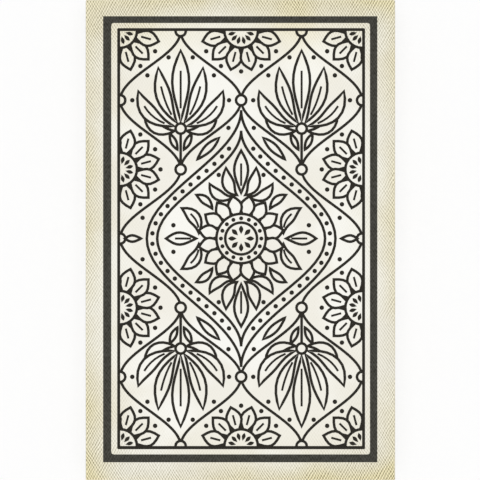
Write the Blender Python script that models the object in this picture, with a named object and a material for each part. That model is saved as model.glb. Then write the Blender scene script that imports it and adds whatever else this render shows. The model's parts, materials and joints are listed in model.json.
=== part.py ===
"""A deck of thirty-six oracle cards, squared up into one stack, backs up.

Metres, +Z up. The origin lies on the table under the middle of the stack. +X runs across
the cards and +Y along them. Every card is carried by the card beneath it.
"""

import math

import bmesh
import bpy
from mathutils import Vector

# One card
CARD_WIDTH = 0.05715
CARD_LENGTH = 0.0889
CARD_THICKNESS = 0.0003
CORNER_RADIUS = 0.0002
CORNER_SEGMENTS = 3

# The stack: the air between two cards, and how far a card lies off square
CARD_GAP = 0.00003
SQUARING_PLAY = 0.00012

# The fan turns about one upright axis, this far in from the left and the near edges
FAN_AXIS_INSET = 0.012

# The top card turns over about an axis this far outside the left side of the stack
TURN_AXIS_CLEARANCE = 0.00003

# Card stock, as linear colour
STOCK_COLOUR = (0.87, 0.84, 0.72, 1.0)
STOCK_ROUGHNESS = 0.5

# The cards, from the bottom of the stack to its top
CARD_NAMES = (
    "rider", "clover", "ship", "house", "tree", "clouds",
    "snake", "coffin", "bouquet", "scythe", "whip", "birds",
    "child", "fox", "bear", "stars", "stork", "dog",
    "tower", "garden", "mountain", "crossroads", "mice", "heart",
    "ring", "book", "letter", "man", "woman", "lily",
    "sun", "moon", "key", "fish", "anchor", "cross",
)
BOTTOM_CARD = 0
TOP_CARD = len(CARD_NAMES) - 1
CUT_CARD = CARD_NAMES.index("tower")
DRAWN_CARD = CARD_NAMES.index("heart")

# Successive cards lie off square in directions this far apart, so that no two agree
GOLDEN_ANGLE = math.pi * (3 - math.sqrt(5))


def remove_scene_objects():
    for item in list(bpy.data.objects):
        bpy.data.objects.remove(item, do_unlink=True)


def card_name(index):
    return f"card_{index + 1:02d}_{CARD_NAMES[index]}"


def card_centre(index):
    """The middle of a card's solid. The bottom and top cards lie square, the others within the play."""
    level = index * (CARD_THICKNESS + CARD_GAP) + CARD_THICKNESS / 2
    if index in (BOTTOM_CARD, TOP_CARD):
        return Vector((0, 0, level))
    angle = index * GOLDEN_ANGLE
    return Vector((SQUARING_PLAY * math.cos(angle), SQUARING_PLAY * math.sin(angle), level))


def card_origin(index):
    """A point on the axis that a card moves about or along."""
    centre = card_centre(index)
    underside = centre.z - CARD_THICKNESS / 2
    if index == TOP_CARD:
        outside = SQUARING_PLAY + TURN_AXIS_CLEARANCE
        return Vector((-CARD_WIDTH / 2 - outside, 0, underside))
    if index in (BOTTOM_CARD, CUT_CARD, DRAWN_CARD):
        return Vector((centre.x, centre.y, underside))
    return Vector((FAN_AXIS_INSET - CARD_WIDTH / 2, FAN_AXIS_INSET - CARD_LENGTH / 2, underside))


def carrier_of(index):
    """The card that carries this one: the one beneath it, passing over the card that is drawn out."""
    beneath = index - 1
    return beneath - 1 if beneath == DRAWN_CARD else beneath


def stock_material(name):
    """Coated card stock, cream and half matt."""
    material = bpy.data.materials.new(name)
    material.use_nodes = True
    surface = material.node_tree.nodes["Principled BSDF"]
    surface.inputs["Base Color"].default_value = STOCK_COLOUR
    surface.inputs["Roughness"].default_value = STOCK_ROUGHNESS
    surface.inputs["Metallic"].default_value = 0.0
    material.diffuse_color = STOCK_COLOUR
    return material


def is_upright(edge):
    first, second = edge.verts
    return abs(first.co.z - second.co.z) > CARD_THICKNESS / 2


def card_mesh(name, offset):
    """A flat card with all but square corners, its middle at an offset from the mesh's origin."""
    shape = bmesh.new()
    bmesh.ops.create_cube(shape, size=1.0)
    bmesh.ops.scale(shape, vec=(CARD_WIDTH, CARD_LENGTH, CARD_THICKNESS), verts=shape.verts)
    bmesh.ops.bevel(
        shape,
        geom=[edge for edge in shape.edges if is_upright(edge)],
        offset=CORNER_RADIUS,
        segments=CORNER_SEGMENTS,
        profile=0.5,
        affect="EDGES",
    )
    bmesh.ops.translate(shape, vec=offset, verts=shape.verts)
    bmesh.ops.recalc_face_normals(shape, faces=shape.faces)
    mesh = bpy.data.meshes.new(name)
    shape.to_mesh(mesh)
    shape.free()
    return mesh


def make_card(index, cards):
    """One card, with its origin on its axis, parented to the card that carries it."""
    name = card_name(index)
    origin = card_origin(index)
    card = bpy.data.objects.new(name, card_mesh(name, card_centre(index) - origin))
    card.data.materials.append(stock_material(name + "_stock"))
    bpy.context.scene.collection.objects.link(card)
    card.location = origin
    if index != BOTTOM_CARD:
        carrier = carrier_of(index)
        card.parent = cards[carrier]
        card.location = origin - card_origin(carrier)
    return card


def main():
    remove_scene_objects()
    cards = []
    for index in range(len(CARD_NAMES)):
        cards.append(make_card(index, cards))


main()
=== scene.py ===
"""Finish of a deck of oracle cards: printed backs and faces, cut edges, stage and camera.

Every card stands for one solid of the frame and is one closed mesh: a printed back, a
printed face and the cut edge between them. A print is a list of shapes, painted one over
another on the flat card and cut into its surface, so that an inked line is a face of the card.
"""

import json
import math
from functools import partial

import bpy
import numpy as np
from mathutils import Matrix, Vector
from mathutils.geometry import delaunay_2d_cdt

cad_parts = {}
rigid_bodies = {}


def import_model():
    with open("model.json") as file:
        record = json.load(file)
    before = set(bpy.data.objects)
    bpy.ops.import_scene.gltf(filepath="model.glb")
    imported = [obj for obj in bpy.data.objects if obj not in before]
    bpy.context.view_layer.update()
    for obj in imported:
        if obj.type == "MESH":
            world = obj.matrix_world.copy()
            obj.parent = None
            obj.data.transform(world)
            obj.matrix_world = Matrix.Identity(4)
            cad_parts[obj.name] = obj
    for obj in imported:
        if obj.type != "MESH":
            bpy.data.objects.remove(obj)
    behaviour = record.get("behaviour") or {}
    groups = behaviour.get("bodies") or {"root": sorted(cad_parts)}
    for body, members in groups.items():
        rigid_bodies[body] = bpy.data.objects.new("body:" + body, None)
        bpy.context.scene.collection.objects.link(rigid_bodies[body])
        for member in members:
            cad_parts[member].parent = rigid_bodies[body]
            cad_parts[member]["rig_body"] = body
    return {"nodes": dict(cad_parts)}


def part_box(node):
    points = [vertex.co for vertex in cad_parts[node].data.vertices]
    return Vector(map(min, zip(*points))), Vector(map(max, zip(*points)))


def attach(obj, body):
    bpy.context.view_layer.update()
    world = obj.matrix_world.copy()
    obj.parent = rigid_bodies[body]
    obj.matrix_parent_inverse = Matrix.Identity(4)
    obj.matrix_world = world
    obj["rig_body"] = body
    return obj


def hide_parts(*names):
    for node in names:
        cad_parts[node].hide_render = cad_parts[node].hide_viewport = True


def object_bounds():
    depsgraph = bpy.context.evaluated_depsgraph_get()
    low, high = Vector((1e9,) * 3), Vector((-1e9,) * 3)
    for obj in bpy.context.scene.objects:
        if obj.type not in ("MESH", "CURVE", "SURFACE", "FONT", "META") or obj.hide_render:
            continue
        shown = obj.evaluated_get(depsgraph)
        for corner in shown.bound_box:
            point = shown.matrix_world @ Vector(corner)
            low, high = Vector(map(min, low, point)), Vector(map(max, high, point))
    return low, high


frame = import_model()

bl_info = {
    "name": "Oracle card deck",
    "version": (1, 0, 0),
    "blender": (4, 5, 0),
    "location": "View3D > Sidebar > Deck",
    "description": "Dresses a stack of cards in printed backs, printed faces and cut edges",
    "category": "Object",
}

CAD_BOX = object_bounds()

# The cards from the bottom of the stack to its top, and the size that they share
CARDS = sorted(frame["nodes"])
TOP_CARD = CARDS[-1]
LOW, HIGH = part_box(TOP_CARD)
WIDTH, LENGTH, THICKNESS = HIGH - LOW
PITCH = HIGH.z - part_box(CARDS[-2])[1].z

# What a printed shape is made of, in the order of the card's material slots
PAPER, FRAME_INK, LINE_INK, RED_INK, CUT_EDGE = range(5)
COAT = "coat"

# Points of a print that lie closer than this are one
MERGE = 2e-8

# The playing card that tradition puts on each card, by rank and suit
PLAYING_CARDS = (
    "9H 6D 10S KH 7H KC QC 9D QS JD JC 7D JS 9C 10C 6H QH 10H "
    "6S 8S 8C QD 7C JH AC 10D 7S AH AS KS AD 8H 8D KD 9S 6C"
).split()


def srgb(red, green, blue):
    """A colour as it shows on a screen, 0 to 255, as linear light."""
    shares = np.array((red, green, blue)) / 255
    linear = np.where(shares <= 0.04045, shares / 12.92, ((shares + 0.055) / 1.055) ** 2.4)
    return tuple(float(share) for share in linear)


# Settings


def length(name, description, default):
    return bpy.props.FloatProperty(
        name=name, description=description, default=default, precision=5, subtype="DISTANCE", unit="LENGTH"
    )


def pair(name, description, across, along):
    return bpy.props.FloatVectorProperty(
        name=name, description=description, default=(across, along), size=2, precision=5, unit="LENGTH"
    )


def colour(name, description, default):
    return bpy.props.FloatVectorProperty(
        name=name, description=description, default=default, size=3, min=0.0, max=1.0, subtype="COLOR"
    )


def share(name, description, default):
    return bpy.props.FloatProperty(
        name=name, description=description, default=default, min=0.0, max=2.0, subtype="FACTOR"
    )


def count(name, description, default):
    return bpy.props.IntProperty(name=name, description=description, default=default, min=1)


class DeckCutSettings(bpy.types.PropertyGroup):
    """How a card is cut out of its sheet"""

    corner_radius: length("Corner radius", "Radius of a card's four corners", 0.0002)
    corner_steps: count("Corner steps", "Straight steps round one corner", 4)
    edge_ease: length("Edge ease", "Rounding that the blade leaves along a cut edge", 0.00004)


class DeckBackSettings(bpy.types.PropertyGroup):
    """The print on the backs"""

    margin: pair("Margin", "Bare border outside the frame, across and along the card", 0.003195, 0.00317)
    frame_line: pair("Frame", "Width of the broad frame line", 0.00144, 0.00136)
    frame_gap: pair("Frame gap", "Paper between the frame and the fine rule", 0.001005, 0.00095)
    frame_place: pair("Frame place", "How far the frame's outline lies off the middle", -0.00001, 0.00014)
    hole_place: pair("Hole place", "How far the frame's inside lies off the middle", 0.000065, 0.00024)
    rule_place: pair("Rule place", "How far the fine rule's outline lies off the middle", 0.00016, 0.000245)
    panel_place: pair("Panel place", "How far the panel lies off the middle", 0.00016, 0.00027)
    inner_radius: length("Inner corner", "Rounding of the frame's inner corners", 0.00045)
    rule_radius: length("Rule corner", "Rounding of the fine rule's outer corners", 0.00024)
    rule_line: pair("Rule", "Width of the fine rule inside the frame", 0.00055, 0.000575)
    line: length("Line", "Width of the lines of the ornament", 0.00051)
    vein: length("Vein", "Width of the line along the middle of a leaf", 0.0004)
    bead: length("Bead", "Radius of the beads of the ornament", 0.00043)
    columns: count("Columns", "Half cells across half the panel", 2)
    rows: count("Rows", "Half cells along half the panel", 3)
    medallion_width: share("Medallion width", "Half width of the medallion in half cells", 1.56)
    medallion_length: share("Medallion length", "Half length of the medallion in half cells", 1.86)
    bead_count: count("Beads", "Beads round the medallion", 58)


class DeckFaceSettings(bpy.types.PropertyGroup):
    """The print on the faces"""

    margin: length("Margin", "Bare border outside the frame", 0.0032)
    line: length("Line", "Width of the frame's line", 0.0005)
    gap: length("Gap", "Paper between the two frame lines", 0.0008)
    number_height: length("Number height", "Height of the numbers", 0.0052)
    rank_height: length("Rank height", "Height of a playing card's rank", 0.0042)
    pip: length("Pip", "Height of a pip", 0.0052)
    mark_gap: length("Mark gap", "Paper between a rank and its pip", 0.0008)
    mark_inset: length("Mark inset", "From the card's edges to the middle of a number", 0.0106)
    emblem: length("Emblem", "Half the height of the emblem", 0.019)


class DeckFinishSettings(bpy.types.PropertyGroup):
    """Colours and surfaces of the paper and the inks"""

    paper: colour("Paper", "Paper in the middle of a card", srgb(251, 250, 244))
    tinge: colour("Tinge", "Paper in the patches that have darkened a little", srgb(243, 240, 230))
    border: colour("Border", "Paper along a card's outer edges", srgb(250, 240, 196))
    # Painted shade: the thread colour darkens the sunken threads of the linen, more so towards the edges and
    # in stains
    thread: colour("Thread", "Shade in the sunken threads of the linen", srgb(112, 102, 62))
    fade: pair("Fade", "Distance over which the yellowed edge fades inwards", 0.004, 0.004)
    weave_fade: pair("Weave fade", "Distance over which the threads fade inwards", 0.0075, 0.0049)
    core: colour("Core", "Paper seen along a cut edge", srgb(248, 245, 235))
    # Core shade is also the colour of the painted shade towards each card's back and face, where the cards
    # meet
    core_shade: colour("Core shade", "Fibres and dust along a cut edge", srgb(214, 206, 184))
    frame_ink: colour("Frame ink", "Ink of the broad frame", srgb(42, 41, 34))
    line_ink: colour("Line ink", "Ink of the fine rule, the ornament and the faces", srgb(34, 31, 25))
    red_ink: colour("Red ink", "Ink of the hearts, the diamonds and parts of the emblems", srgb(150, 38, 34))
    roughness: share("Roughness", "Roughness of the coated paper", 0.5)


class DeckStageSettings(bpy.types.PropertyGroup):
    """Floor, light and camera"""

    lens: bpy.props.FloatProperty(name="Lens", description="Focal length in millimetres", default=150.0)
    view_height: length("View height", "Height of the picture at the top card", 0.08884)
    view_offset: length("View offset", "How far the camera stands to the left of the middle", 0.00005)
    floor_size: length("Floor size", "Side of the square floor", 6.0)
    floor_drop: length("Floor drop", "How far the floor lies under the bottom card", 0.00002)
    floor: colour("Floor", "Colour of the floor", (0.99, 0.99, 0.99))
    floor_white: share("Floor white", "How far the seen floor is lifted to white", 0.75)
    sky: share("Sky", "Strength of the light from all round", 0.6)
    lamp: bpy.props.FloatProperty(name="Lamp", description="Power of the soft lamp in watts", default=6.0)
    lamp_size: length("Lamp size", "Side of the square lamp", 0.8)
    lamp_height: length("Lamp height", "Height of the lamp above the floor", 1.2)


SETTINGS = {
    "deck_cut": DeckCutSettings,
    "deck_back": DeckBackSettings,
    "deck_face": DeckFaceSettings,
    "deck_finish": DeckFinishSettings,
    "deck_stage": DeckStageSettings,
}


# Node trees


class Value:
    """An output socket of a node tree. Sums on it add Math nodes to the tree."""

    def __init__(self, maker, socket):
        self.maker = maker
        self.socket = socket

    def other(self, name):
        """Another output of the same node."""
        return Value(self.maker, self.socket.node.outputs[name])

    def math(self, operation, first, second=0.0):
        return self.maker.add("ShaderNodeMath", {"operation": operation}, {0: first, 1: second})

    def __add__(self, other):
        return self.math("ADD", self, other)

    def __sub__(self, other):
        return self.math("SUBTRACT", self, other)

    def __rsub__(self, other):
        return self.math("SUBTRACT", other, self)

    def __mul__(self, other):
        return self.math("MULTIPLY", self, other)

    def __truediv__(self, other):
        return self.math("DIVIDE", self, other)

    def __mod__(self, other):
        return self.math("FLOORED_MODULO", self, other)

    __radd__ = __add__
    __rmul__ = __mul__

    def __abs__(self):
        return self.math("ABSOLUTE", self)

    def floor(self):
        return self.math("FLOOR", self)

    def sine(self):
        return self.math("SINE", self)

    def exponential(self):
        return self.math("EXPONENT", self)

    def most(self, other):
        return self.math("MAXIMUM", self, other)

    def above(self, other):
        return self.math("GREATER_THAN", self, other)

    def smooth(self, low, high):
        """0 up to low, 1 from high on, and a smooth step between them."""
        limits = {"Value": self, "From Min": low, "From Max": high}
        return self.maker.add("ShaderNodeMapRange", {"interpolation_type": "SMOOTHSTEP"}, limits)


class NodeMaker:
    """Adds nodes to one tree."""

    def __init__(self, tree):
        self.tree = tree

    def plug(self, node, sockets):
        """Set a node's sockets to values, or link them."""
        for key, value in sockets.items():
            if isinstance(value, Value):
                self.tree.links.new(value.socket, node.inputs[key])
            else:
                node.inputs[key].default_value = value

    def add(self, kind, settings=None, sockets=None, output=0):
        """A node of a type, with its settings, then its sockets' values or links. Returns one output."""
        node = self.tree.nodes.new(kind)
        for name, value in (settings or {}).items():
            setattr(node, name, value)
        self.plug(node, sockets or {})
        return Value(self, node.outputs[output])

    def mix(self, factor, first, second):
        """One colour over another."""
        sockets = {"Factor": factor}
        for key, tone in ((6, first), (7, second)):
            sockets[key] = tone if isinstance(tone, Value) else (*tone, 1.0)
        return self.add("ShaderNodeMix", {"data_type": "RGBA"}, sockets, output=2)


# Shapes, as arrays of points about the middle of a card or a motif

# A leaf's belly lies past its middle by this power
LEAF_BELLY = 1.25

# Points along curves
LEAF_STEPS = 10
PETAL_STEPS = 9
ARC_STEPS = 12
ROUND_STEPS = 28
SPAN_STEPS = 4
BEAD_STEPS = 12


def disc(radius, steps, centre=(0.0, 0.0)):
    angles = np.arange(steps) * math.tau / steps
    return np.column_stack((np.cos(angles), np.sin(angles))) * radius + centre


def box(half_width, half_length):
    return np.array(((1, 1), (-1, 1), (-1, -1), (1, -1))) * (half_width, half_length)


def round_box(half_width, half_length, radius, steps):
    """A rectangle with round corners, from its right side anticlockwise."""
    points = []
    for quarter, (side, end) in enumerate(((1, 1), (-1, 1), (-1, -1), (1, -1))):
        centre = np.array((side * (half_width - radius), end * (half_length - radius)))
        angles = (quarter + np.linspace(0, 1, steps + 1)) * math.pi / 2
        points.append(centre + radius * np.column_stack((np.cos(angles), np.sin(angles))))
    return np.vstack(points)


def ogee(half_width, half_height, steps):
    """A cell with a point at its bottom and top, swelling in S-curves to its middle."""
    heights = half_height * np.sin(np.linspace(-0.5, 0.5, steps) * math.pi)
    side = half_width * (1 + np.cos(math.pi * heights / half_height)) / 2
    right = np.column_stack((side, heights))
    return np.vstack((right, right[-2:0:-1] * (-1, 1)))


def bow(base, bend, tip, along):
    """Points along a bowed line, at shares of it from 0 to 1, and its headings there."""
    base, bend, tip = (np.array(point, float) for point in (base, bend, tip))
    along = np.array(along)[:, None]
    places = (1 - along) ** 2 * base + 2 * along * (1 - along) * bend + along**2 * tip
    headings = (1 - along) * (bend - base) + along * (tip - bend)
    return places, headings / np.linalg.norm(headings, axis=1, keepdims=True)


def leaf(base, bend, tip, half_width, steps=LEAF_STEPS):
    """A leaf along a bowed line, with a point at each end and its belly past the middle."""
    along = np.linspace(0, 1, steps)
    middle, heading = bow(base, bend, tip, along)
    side = heading[:, ::-1] * (1, -1) * half_width * np.sin(math.pi * along**LEAF_BELLY)[:, None]
    return np.vstack((middle + side, (middle - side)[-2:0:-1]))


def petal(size, half_width):
    """A straight leaf along +X from the middle."""
    return leaf((0, 0), (size / 2, 0), (size, 0), half_width, steps=PETAL_STEPS)


def turned(shapes, angle):
    cosine, sine = math.cos(angle), math.sin(angle)
    turn = np.array(((cosine, sine), (-sine, cosine)))
    return [(points @ turn, coat) for points, coat in shapes]


def moved(shapes, offset):
    return [(points + np.array(offset), coat) for points, coat in shapes]


def swapped(shapes):
    """The mirror image of shapes across the upright middle line."""
    return [(points[::-1] * (-1, 1), coat) for points, coat in shapes]


def mirrored(shapes):
    """The shapes and their mirror image."""
    return shapes + swapped(shapes)


def widened(points, distance, closed=True):
    """A line moved sideways by a distance, with its corners kept. Anticlockwise shapes grow."""
    before, after = np.roll(points, 1, axis=0), np.roll(points, -1, axis=0)
    if not closed:
        before[0] = 2 * points[0] - points[1]
        after[-1] = 2 * points[-1] - points[-2]
    arriving, leaving = points - before, after - points
    arriving = arriving / np.linalg.norm(arriving, axis=1, keepdims=True)
    leaving = leaving / np.linalg.norm(leaving, axis=1, keepdims=True)
    normals = (arriving + leaving)[:, ::-1] * (1, -1)
    spread = np.maximum(np.linalg.norm(normals, axis=1, keepdims=True), 1.0)
    return points + normals * 2 / spread**2 * distance


def oval(across, up, half_width, half_height):
    return disc(1.0, ROUND_STEPS) * (half_width, half_height) + (across, up)


def dot(across, up, radius):
    return oval(across, up, radius, radius)


def rect(left, bottom, right, top):
    return np.array(((right, top), (left, top), (left, bottom), (right, bottom)), float)


def star(rays, outer, inner, centre=(0.0, 0.0)):
    """A star with a ray straight up."""
    radii = np.where(np.arange(2 * rays) % 2, inner, outer)[:, None]
    return (disc(1.0, 2 * rays)[:, ::-1] * radii)[::-1] + centre


def smoothed(points):
    """A closed curve through points."""
    points = np.array(points, float)
    before, after, later = (np.roll(points, -shift, axis=0) for shift in (-1, 1, 2))
    steps = np.arange(SPAN_STEPS)[:, None, None] / SPAN_STEPS
    bend = (2 * before - 5 * points + 4 * after - later) * steps**2
    twist = (3 * points - before - 3 * after + later) * steps**3
    curve = points + ((after - before) * steps + bend + twist) / 2
    return curve.transpose(1, 0, 2).reshape(-1, 2)


def heart_outline(size):
    """A heart about as high as its size, from the curve of sines and cosines that is named after it."""
    angles = np.arange(ROUND_STEPS) * math.tau / ROUND_STEPS
    across = 16 * np.sin(angles) ** 3
    up = 13 * np.cos(angles) - 5 * np.cos(2 * angles) - 2 * np.cos(3 * angles) - np.cos(4 * angles)
    return np.column_stack((across, up + 2.5))[::-1] * size / 30


def ribbon(points, half_width):
    """An open band along a line, with one half width or one for each point."""
    points = np.array(points, float)
    side = widened(points, 1.0, closed=False) - points
    side = side * np.broadcast_to(half_width, len(points))[:, None]
    return np.vstack((points + side, (points - side)[::-1]))


def arc(base, bend, tip, half_width):
    """A band along a bowed line."""
    return ribbon(bow(base, bend, tip, np.linspace(0, 1, ARC_STEPS))[0], half_width)


def coated(coat, *outlines):
    """Shapes that all have one coat."""
    return [(np.array(points, float), coat) for points in outlines]


ink = partial(coated, LINE_INK)
bare = partial(coated, PAPER)
red = partial(coated, RED_INK)


def outline(points, width):
    """A closed line of one width, as an inked shape with its inside bare again."""
    return ink(widened(points, width / 2)) + bare(widened(points, -width / 2))


def stroke(points, width):
    """An open line of one width."""
    return ink(ribbon(points, width / 2))


def clipped(shapes, half):
    """The shapes as far as they lie in a box of this half size."""
    kept = []
    for points, coat in shapes:
        for axis in (0, 1):
            for sign in (1, -1):
                points = clipped_side(points, axis, sign, half[axis])
        if len(points) > 2:
            kept.append((np.array(points), coat))
    return kept


def clipped_side(points, axis, sign, limit):
    kept = []
    for point, following in zip(points, np.roll(points, -1, axis=0) if len(points) else ()):
        room, next_room = limit - sign * point[axis], limit - sign * following[axis]
        if room >= 0:
            kept.append(point)
        if room * next_room < 0:
            crossing = point + (following - point) * room / (room - next_room)
            crossing[axis] = sign * limit
            kept.append(crossing)
    return kept


# Motifs repeated by geometry nodes


def flat_object(name, points, edges=(), faces=()):
    mesh = bpy.data.meshes.new(name)
    places = np.column_stack((points, np.zeros(len(points))))
    mesh.from_pydata(places.tolist(), list(edges), list(faces))
    flat = bpy.data.objects.new(name, mesh)
    bpy.context.scene.collection.objects.link(flat)
    return flat


def motif_object(shapes):
    """A flat object with one face for each shape, which carries the shape's coat."""
    outlines, coats = zip(*shapes)
    ends = np.cumsum([len(points) for points in outlines])
    faces = [range(end - len(points), end) for end, points in zip(ends, outlines)]
    motif = flat_object("motif", np.vstack(outlines), faces=faces)
    motif.data.attributes.new(COAT, "INT", "FACE").data.foreach_set("value", coats)
    return motif


def path_object(points):
    """A closed line through points."""
    edges = [(index, (index + 1) % len(points)) for index in range(len(points))]
    return flat_object("path", points, edges=edges)


def removed(flat):
    mesh = flat.data
    bpy.data.objects.remove(flat)
    bpy.data.meshes.remove(mesh)


def repeat_tree(name, inputs, rule):
    """A tree that sets its object's mesh on the points of a rule, as one inked mesh."""
    tree = bpy.data.node_groups.new(name, "GeometryNodeTree")
    tree.interface.new_socket("Motif", in_out="INPUT", socket_type="NodeSocketGeometry")
    for label, kind in {**inputs, "Ink": "Material"}.items():
        tree.interface.new_socket(label, in_out="INPUT", socket_type="NodeSocket" + kind)
    tree.interface.new_socket("Print", in_out="OUTPUT", socket_type="NodeSocketGeometry")
    nodes = NodeMaker(tree)
    entry = nodes.add("NodeGroupInput")
    given = {label: entry.other(label) for label in ("Motif", *inputs, "Ink")}
    sockets = {"Instance": given["Motif"], **rule(nodes, given)}
    copies = nodes.add("GeometryNodeInstanceOnPoints", None, sockets)
    solid = nodes.add("GeometryNodeRealizeInstances", None, {"Geometry": copies})
    inked = nodes.add("GeometryNodeSetMaterial", None, {"Geometry": solid, "Material": given["Ink"]})
    nodes.plug(tree.nodes.new("NodeGroupOutput"), {"Print": inked})
    return tree


def half_turn(nodes, wanted):
    """A half turn in the plane of the card where a value is 1."""
    angles = nodes.add("ShaderNodeCombineXYZ", None, {"Z": wanted * math.pi})
    return nodes.add("FunctionNodeEulerToRotation", None, {"Euler": angles})


def point_place(nodes):
    """Where each point of a rule lies: its place, and that across and along the card."""
    place = nodes.add("GeometryNodeInputPosition")
    across = nodes.add("ShaderNodeSeparateXYZ", None, {"Vector": place})
    return {"place": place, "across": across, "along": across.other("Y")}


def ring_rule(nodes, given):
    """Points round a circle, each turned to face outwards."""
    sizes = {"Vertices": given["Count"], "Radius": given["Radius"]}
    circle = nodes.add("GeometryNodeMeshCircle", None, sizes)
    outwards = {"Vector": point_place(nodes)["place"]}
    turn = nodes.add("FunctionNodeAlignRotationToVector", {"axis": "X"}, outwards)
    return {"Points": circle, "Rotation": turn}


def lattice_rule(nodes, given):
    """Every second point of a grid, within a range of steps from its middle, turned over below it."""
    sizes = {
        "Size X": given["Step X"] * given["Columns"] * 2,
        "Size Y": given["Step Y"] * given["Rows"] * 2,
        "Vertices X": given["Columns"] * 2 + 1,
        "Vertices Y": given["Rows"] * 2 + 1,
    }
    grid = nodes.add("GeometryNodeMeshGrid", None, sizes)
    point = point_place(nodes)
    column = (point["across"] / given["Step X"] + 0.5).floor()
    row = (point["along"] / given["Step Y"] + 0.5).floor()
    wanted = 1 - abs((column + row) % 2 - given["Parity"])
    outermost = (abs(column) - given["Columns"]).most(abs(row) - given["Rows"]).above(-0.5)
    at_edge = 1 - abs(outermost - given["At edge"])
    clear = (abs(column) + abs(row)).above(given["Clear"] + 0.5)
    below = 1 - row.above(-0.5)
    return {"Points": grid, "Selection": wanted * at_edge * clear, "Rotation": half_turn(nodes, below)}


def path_rule(nodes, given):
    """Points evenly spaced along a closed line, apart from its two ends."""
    line = nodes.add("GeometryNodeObjectInfo", None, {"Object": given["Path"]}, output="Geometry")
    curve = nodes.add("GeometryNodeMeshToCurve", None, {"Mesh": line})
    spaced = nodes.add("GeometryNodeResampleCurve", None, {"Curve": curve, "Count": given["Count"]})
    reach = abs(point_place(nodes)["along"])
    return {"Points": spaced, "Selection": 1 - reach.above(given["Reach"])}


def spot_rule(nodes, given):
    """Points given one by one, each turned over if it lies below the middle."""
    spots = nodes.add("GeometryNodeObjectInfo", None, {"Object": given["Spots"]}, output="Geometry")
    below = 1 - point_place(nodes)["along"].above(0.0)
    return {"Points": spots, "Rotation": half_turn(nodes, below)}


class Repeats:
    """The trees that repeat a motif, and the ink that they print in."""

    def __init__(self, ink):
        self.ink = ink
        lattice = {"Step X": "Float", "Step Y": "Float", "Columns": "Int", "Rows": "Int"}
        lattice |= {"Parity": "Int", "At edge": "Int", "Clear": "Int"}
        self.ring_tree = repeat_tree("Motifs round a ring", {"Count": "Int", "Radius": "Float"}, ring_rule)
        self.lattice_tree = repeat_tree("Motifs on a lattice", lattice, lattice_rule)
        path = {"Path": "Object", "Count": "Int", "Reach": "Float"}
        self.path_tree = repeat_tree("Beads along a line", path, path_rule)
        self.spot_tree = repeat_tree("Marks in two corners", {"Spots": "Object"}, spot_rule)

    def made(self, tree, shapes, values):
        """The shapes of a motif as a tree repeats them, in order, each with its coat."""
        motif = motif_object(shapes)
        modifier = motif.modifiers.new("Repeat", "NODES")
        modifier.node_group = tree
        values = {**values, "Ink": self.ink}
        for socket in tree.interface.items_tree:
            if socket.in_out == "INPUT" and socket.name in values:
                modifier[socket.identifier] = values[socket.name]
        seen = motif.evaluated_get(bpy.context.evaluated_depsgraph_get())
        mesh = bpy.data.meshes.new_from_object(seen)
        motif.modifiers.remove(modifier)
        places = np.empty(len(mesh.vertices) * 3, np.float32)
        mesh.vertices.foreach_get("co", places)
        places = places.reshape(-1, 3)[:, :2].astype(float)
        coats = mesh.attributes[COAT].data
        found = [(places[list(face.vertices)], coats[face.index].value) for face in mesh.polygons]
        bpy.data.meshes.remove(mesh)
        removed(motif)
        return found

    def ring(self, shapes, number, radius, half_step=False):
        found = self.made(self.ring_tree, shapes, {"Count": number, "Radius": radius})
        return turned(found, math.pi / number) if half_step else found

    def lattice(self, shapes, back, cell, parity, at_edge, clear):
        values = {"Step X": cell[0], "Step Y": cell[1], "Columns": back.columns, "Rows": back.rows}
        values |= {"Parity": parity, "At edge": at_edge, "Clear": clear}
        return self.made(self.lattice_tree, shapes, values)

    def along(self, shapes, line, number, reach):
        path = path_object(line)
        found = self.made(self.path_tree, shapes, {"Path": path, "Count": number, "Reach": reach})
        removed(path)
        return found

    def spots(self, shapes, places):
        points = flat_object("spots", places)
        found = self.made(self.spot_tree, shapes, {"Spots": points})
        removed(points)
        return found


# The print on the backs

# Petals of the rosettes and of the great rosette's star
ROSETTE_PETALS = 12
GREAT_PETALS = 16
STAR_PETALS = 8

# Sizes in half cells across: a rosette, the great rosette and the rings where the lines meet
ROSETTE_SIZE = 0.66
GREAT_SIZE = 0.711
RING_SIZE = 0.085

# The ring of beads round a rosette, in its sizes
ROSETTE_BEADS = 1.01

# The medallion's inner line in shares of its outer one, and how far its beads reach towards its tips
MEDALLION_INNER = (0.89, 0.84)
MEDALLION_BEADS = 0.76

# A leaf this many line widths to each side has a vein, between two shares of its length
VEIN_ROOM = 2.1
VEIN_SHARES = np.linspace(0.2, 0.72, 6)

# Steps of curves: an ogee, the line of its beads, a lattice line and the middle cells' outline
# along one half cell, and the frame's and the rule's round corners
OGEE_STEPS = 57
BEAD_LINE_STEPS = 201
LATTICE_STEPS = 40
MIDDLE_STEPS = 15
FRAME_CORNER_STEPS = 4

# Leaves as base, bend and tip, in half cells across and along, and half width, in half cells across
LOTUS_LEAVES = (
    ((0.05, -0.72), (0.10, -0.64), (0.18, -0.48), 0.045),
    ((0.07, -0.44), (0.40, -0.50), (0.60, -0.24), 0.085),
    ((0.08, -0.38), (0.58, -0.30), (0.70, 0.13), 0.12),
    ((0.05, -0.34), (0.32, -0.04), (0.37, 0.47), 0.12),
)
LOTUS_MIDDLE = ((0.0, -0.33), (0.0, 0.2), (0.0, 0.72), 0.14)
LOTUS_STEM = ((0.0, -0.94), (0.0, -0.4))
LOTUS_BEADS = ((0.20, 0.62), (0.55, 0.36), (0.80, 0.0))
LOTUS_RING = (0.0, -0.41)
CREST_LEAVES = (
    ((0.74, 1.13), (0.58, 1.28), (0.36, 1.46), 0.06),
    ((0.47, 0.42), (0.55, 0.56), (0.74, 0.63), 0.06),
    ((0.107, 0.60), (0.40, 0.54), (0.52, 0.79), 0.08),
    ((0.062, 0.625), (0.24, 0.70), (0.25, 1.02), 0.095),
)
CREST_MIDDLE = ((0.0, 0.641), (0.0, 0.938), (0.0, 1.27), 0.115)
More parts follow.
